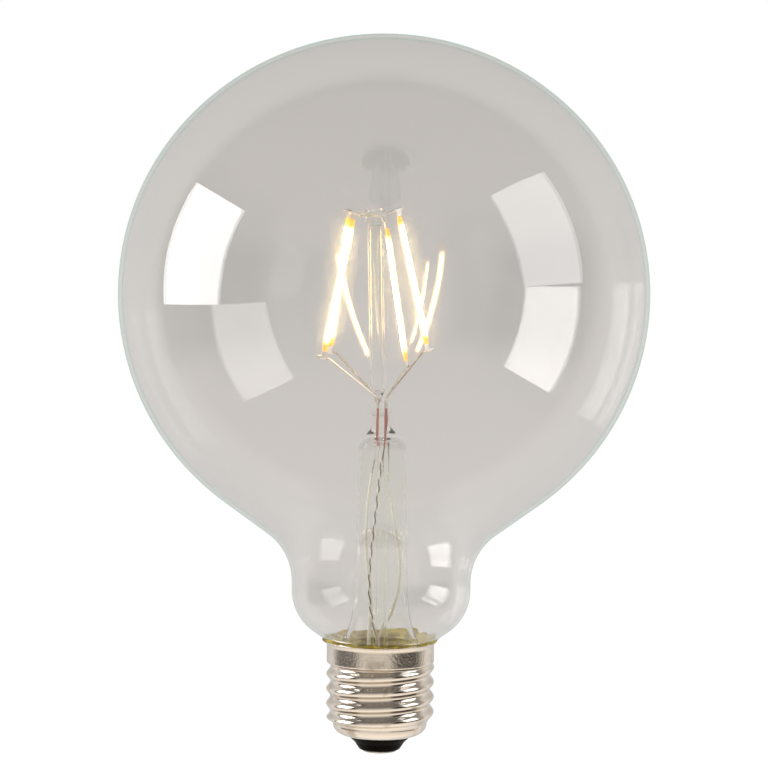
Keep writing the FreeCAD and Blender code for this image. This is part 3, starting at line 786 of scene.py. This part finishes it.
    def shell(self, plate: bpy.types.Material) -> bpy.types.Object:
        """The rolled sheet as a plain mesh."""
        holder = bpy.data.objects.new("shell_maker", bpy.data.meshes.new("shell_maker"))
        bpy.context.scene.collection.objects.link(holder)
        tree = self.thread_tree()
        roll = holder.modifiers.new("roll", "NODES")
        roll.node_group = tree
        values = {**self.sizes(), "Material": plate}
        for item in tree.interface.items_tree:
            if item.in_out == "INPUT":
                roll[item.identifier] = values[item.name]
        evaluated = holder.evaluated_get(bpy.context.evaluated_depsgraph_get())
        rolled = bpy.data.meshes.new_from_object(evaluated)
        bpy.data.objects.remove(holder)
        mesh = bmesh.new()
        mesh.from_mesh(rolled)
        bmesh.ops.recalc_face_normals(mesh, faces=mesh.faces)
        outward = sum(face.normal.dot(face.calc_center_median() * Vector((1, 1, 0))) for face in mesh.faces)
        if outward < 0:
            bmesh.ops.reverse_faces(mesh, faces=mesh.faces)
        mesh.normal_update()
        sheet = bmesh.ops.duplicate(mesh, geom=mesh.faces[:] + mesh.edges[:] + mesh.verts[:])
        copies = [part for part in sheet["geom"] if isinstance(part, bmesh.types.BMFace)]
        moves = {v: v.normal.copy() for face in copies for v in face.verts}
        for vertex, normal in moves.items():
            vertex.co -= normal * self.sheet * MM
        bmesh.ops.reverse_faces(mesh, faces=copies)
        middle = (self.lip_z + self.rim_z) / 2 * MM
        for upper in (True, False):
            rims = [e for e in mesh.edges if e.is_boundary and (e.verts[0].co.z > middle) == upper]
            bmesh.ops.bridge_loops(mesh, edges=rims)
        return finished(mesh, "rolled_shell")

    def build(self) -> None:
        """Make the shell, the insulator, the contact and the cement."""
        plate = self.plate.material()
        dress(self.shell(plate), plate, "cap_metal", "screw_shell")
        black = self.moulding.material()
        body = Outline().rounded([
            (1.3, 6.6, 0), (10.4, 6.6, 0.6), (8.1, 5.0, 0), (7.45, 4.3, 0), (7.45, 4.2, 0), (7.7, 4.0, 0.25),
            (6.1, 2.5, 1.0), (4.9, 0.7, 0.5), (1.3, 0.7, 0)])
        dress(body.solid("moulded_insulator"), black, "insulator_black", "insulator")
        disc = Outline().rounded([(0, 0, 0), (3.1, 0, 1.2), (4.2, 0.28, 0.2), (4.2, 0.7, 0), (0, 0.7, 0)])
        dress(disc.solid("pressed_contact"), self.contact.material(), "contact_metal", "centre_contact")
        dress(self.cement(), self.bed.material(), "cement", "cement_ring")

    def glass_at(self, z: float) -> float:
        """Outer radius of the glass shoulder at a height above the seal, with the cement's gap."""
        return self.seal[0] + (z - self.seal[1]) * math.tan(math.radians(self.glass_slope)) + self.cement_gap

    def cement(self) -> bpy.types.Object:
        """The cement between glass and shell, with the ragged bead that climbs the glass above the rim."""
        rim_inside = self.rim_radius - self.sheet - self.cement_gap
        body = Outline()
        body.points = [(self.seal[0] + self.cement_gap, self.bed_low_z), (self.bed_wall, self.bed_low_z),
                       (self.bed_wall, self.skirt_z - 0.4), (rim_inside - 0.5, self.rim_z - 0.5),
                       (rim_inside, self.rim_z)]
        start = rim_inside - self.glass_at(self.rim_z)
        for k in range(1, self.bead_steps + 1):
            z = self.rim_z + self.bead_rise * k / self.bead_steps
            left = 1.0 - k / self.bead_steps
            extra = self.bead_swell * math.sin(math.pi * k / self.bead_steps)
            body.points.append((self.glass_at(z) + start * left ** 2 + extra * left, z))
        body.points += [(self.glass_at(self.rim_z), self.rim_z), (self.glass_at(self.seal[1]), self.seal[1])]
        piece = body.solid("cement_bed", 120)
        slope = math.tan(math.radians(self.glass_slope))
        least, spread, waves = self.bead_ragged
        for vertex in piece.data.vertices:
            above = vertex.co.z / MM - self.rim_z
            if above <= self.hair:
                continue
            side = Vector((vertex.co.x, vertex.co.y, 0)).normalized()
            kept = least + spread * noise.noise(side * waves) ** 2
            drop = above * (1.0 - min(1.0, kept))
            radius = math.hypot(vertex.co.x, vertex.co.y)
            scale = (radius - drop * slope * MM) / radius
            vertex.co = Vector((vertex.co.x * scale, vertex.co.y * scale, vertex.co.z - drop * MM))
        return piece


@dataclass
class Driver:
    """The small driver in the cap, which keeps its CAD meshes."""

    finishes: dict[str, Matter | Metal] = field(default_factory=lambda: {
        "driver_board": Matter("board_laminate", (0.03, 0.12, 0.05), (0.02, 0.08, 0.03), 0.4),
        "fusible_resistor": Matter("resistor_coat", (0.07, 0.15, 0.21), (0.05, 0.11, 0.16), 0.35),
        "smoothing_capacitor": Matter("can_sleeve", (0.05, 0.055, 0.075), (0.03, 0.033, 0.05), 0.3),
        "bridge_rectifier": Matter("black_epoxy", (0.012, 0.012, 0.013), (0.02, 0.02, 0.021), 0.5),
        "driver_chip": Matter("chip_epoxy", (0.012, 0.012, 0.013), (0.02, 0.02, 0.021), 0.5),
    })

    def build(self) -> None:
        """Finish each component."""
        for node, finish in self.finishes.items():
            coat(node, finish.material())


@dataclass
class Studio:
    """White surroundings, two soft lamps and the camera, in metres and degrees."""

    aim: Vector = field(default_factory=lambda: Vector((0.0002, 0.0, 0.0892)))
    distance: float = 0.6
    elevation: float = 3.5
    roll: float = 0.6
    lens: float = 117.0
    floor_z: float = -0.2
    lamp_distance: float = 0.7
    backdrop_edge: Point = (0.28, 0.41)
    border: Point = (0.45, 0.90)
    border_level: float = 0.30
    backdrop_tint: Colour = (1.0, 0.975, 0.955)
    through_level: Point = (0.57, 0.45)
    through_reach: float = 0.15
    back_level: Point = (0.71, 0.40)
    front_level: Point = (0.70, 0.62)
    front_tint: Colour = (1.0, 0.93, 0.85)
    dark_sides: tuple[Point, Point] = ((-82.0, 30.0), (62.0, 34.0))
    side_softness: float = 7.0
    side_height: tuple[Point, Point] = ((-0.45, -0.20), (0.45, 0.75))
    side_dark: float = 0.94
    fill_level: float = 0.45
    floor_reach: float = 8.0
    floor_grey: float = 0.9
    floor_light: float = 1.45
    floor_light_share: float = 0.6
    lamp_aim_z: float = 0.11

    def room(self, across: Link, depth: Link, rise: Link) -> Link:
        """The light of the studio by direction, as glass and metal mirror it.

        Args:
            across: The direction's part along X.
            depth: The direction's part along Y.
            rise: The direction's part along Z.

        Returns:
            A level that is even behind the lamp with a brighter border, dimmer above, and dark at both sides.
        """
        back = self.back_level[0] - rise.maths("MAXIMUM", 0.0) * self.back_level[1]
        back = back + (1.0 - depth.eased(*self.border)) * self.border_level
        front = self.front_level[0] - rise * self.front_level[1]
        room = front + depth.eased(*self.backdrop_edge) * (back - front)
        level_way = (across * across + depth * depth) ** 0.5
        low, high = self.side_height
        near_level = rise.eased(*low) * (1.0 - rise.eased(*high)) * self.side_dark
        for turn, half in self.dark_sides:
            angle = math.radians(turn)
            towards = (across * math.sin(angle) - depth * math.cos(angle)) / level_way
            edges = [math.cos(math.radians(half + off)) for off in (self.side_softness, -self.side_softness)]
            room = room * (1.0 - towards.eased(*edges) * near_level)
        return room

    def white(self) -> None:
        """A white world, grey where glass shows it, with a room for glass and metal to mirror."""
        world = bpy.data.worlds.new("studio")
        bpy.context.scene.world = world
        world.use_nodes = True
        graph = Graph(world.node_tree)
        straight, through, mirrored = graph.rays()
        rest = (1.0 - straight - through - mirrored).clamped()
        way = graph.node("ShaderNodeTexCoord", output="Generated")
        across, depth, rise = graph.outputs("ShaderNodeSeparateXYZ", ("X", "Y", "Z"), {0: way})
        slant = rise.maths("MAXIMUM", -self.through_reach).maths("MINIMUM", self.through_reach)
        behind = self.through_level[0] - slant * self.through_level[1]
        level = straight + through * behind + mirrored * self.room(across, depth, rise)
        level = level + rest * self.fill_level
        tint = graph.mixed(through.maths("MAXIMUM", mirrored), (1.0, 1.0, 1.0), self.backdrop_tint)
        in_front = mirrored * (1.0 - depth.eased(*self.backdrop_edge))
        tint = graph.mixed(in_front, tint, self.front_tint)
        light = graph.node("ShaderNodeBackground", {}, {"Color": tint, "Strength": level})
        graph.node("ShaderNodeOutputWorld", {}, {"Surface": light})

    def floor(self) -> None:
        """A pale floor well below the lamp, so that its shadow stays out of the main view."""
        mesh = bmesh.new()
        bmesh.ops.create_grid(mesh, x_segments=1, y_segments=1, size=self.floor_reach)
        for vertex in mesh.verts:
            vertex.co.z = self.floor_z
        piece = finished(mesh, "floor")
        paint = Paint("pale_floor")
        straight, through, mirrored = paint.rays()
        matt = paint.node("ShaderNodeBsdfDiffuse", {}, {"Color": (*[self.floor_grey] * 3, 1.0)})
        white = paint.node("ShaderNodeEmission", {}, {"Strength": self.floor_light})
        gone = paint.node("ShaderNodeBsdfTransparent")
        share = straight * self.floor_light_share
        seen = paint.node("ShaderNodeMixShader", {}, {0: share, 1: matt, 2: white})
        beyond = through.maths("MAXIMUM", mirrored)
        piece.data.materials.append(paint.finish(
            paint.node("ShaderNodeMixShader", {}, {0: beyond, 1: seen, 2: gone})))

    def lamp(self, name: str, direction: Vector, size: Point, power: float) -> None:
        """One soft lamp that faces the globe from a direction."""
        data = bpy.data.lights.new(name, "AREA")
        data.shape = "RECTANGLE"
        data.size, data.size_y = size
        data.energy = power
        lamp = bpy.data.objects.new(name, data)
        centre = Vector((0, 0, self.lamp_aim_z))
        lamp.location = centre + direction.normalized() * self.lamp_distance
        lamp.rotation_euler = direction.to_track_quat("Z", "Y").to_euler()
        lamp.visible_camera = False
        lamp.visible_transmission = False
        bpy.context.scene.collection.objects.link(lamp)

    def camera(self) -> None:
        """The camera at the photograph's angle."""
        data = bpy.data.cameras.new("camera")
        data.lens = self.lens
        data.sensor_width = 36.0
        camera = bpy.data.objects.new("camera", data)
        rise = math.radians(self.elevation)
        away = Vector((0, -math.cos(rise), math.sin(rise)))
        turn = away.to_track_quat("Z", "Y").to_matrix() @ Matrix.Rotation(math.radians(self.roll), 3, "Z")
        camera.matrix_world = Matrix.Translation(self.aim + away * self.distance) @ turn.to_4x4()
        bpy.context.scene.collection.objects.link(camera)
        bpy.context.scene.camera = camera

    def build(self) -> None:
        """Set up the whole studio."""
        self.white()
        self.floor()
        self.lamp("left_softbox", Vector((-0.96, -0.05, 0.24)), (0.42, 0.44), 4.1)
        self.lamp("right_softbox", Vector((0.87, -0.25, 0.38)), (0.40, 0.46), 1.85)
        self.camera()
        scene = bpy.context.scene
        scene.view_settings.view_transform = "Standard"
        scene.cycles.transparent_max_bounces = 32
        scene.cycles.max_bounces = 20
        scene.cycles.transmission_bounces = 16


def main() -> None:
    """Build and dress the lamp, then the studio."""
    logging.basicConfig(level=logging.INFO, format="%(message)s")
    for part in (Envelope(), Stem(), Lights(), Leads(), ScrewCap(), Driver(), Studio()):
        log.info("building %s", type(part).__name__)
        part.build()


if __name__ == "__main__":
    main()
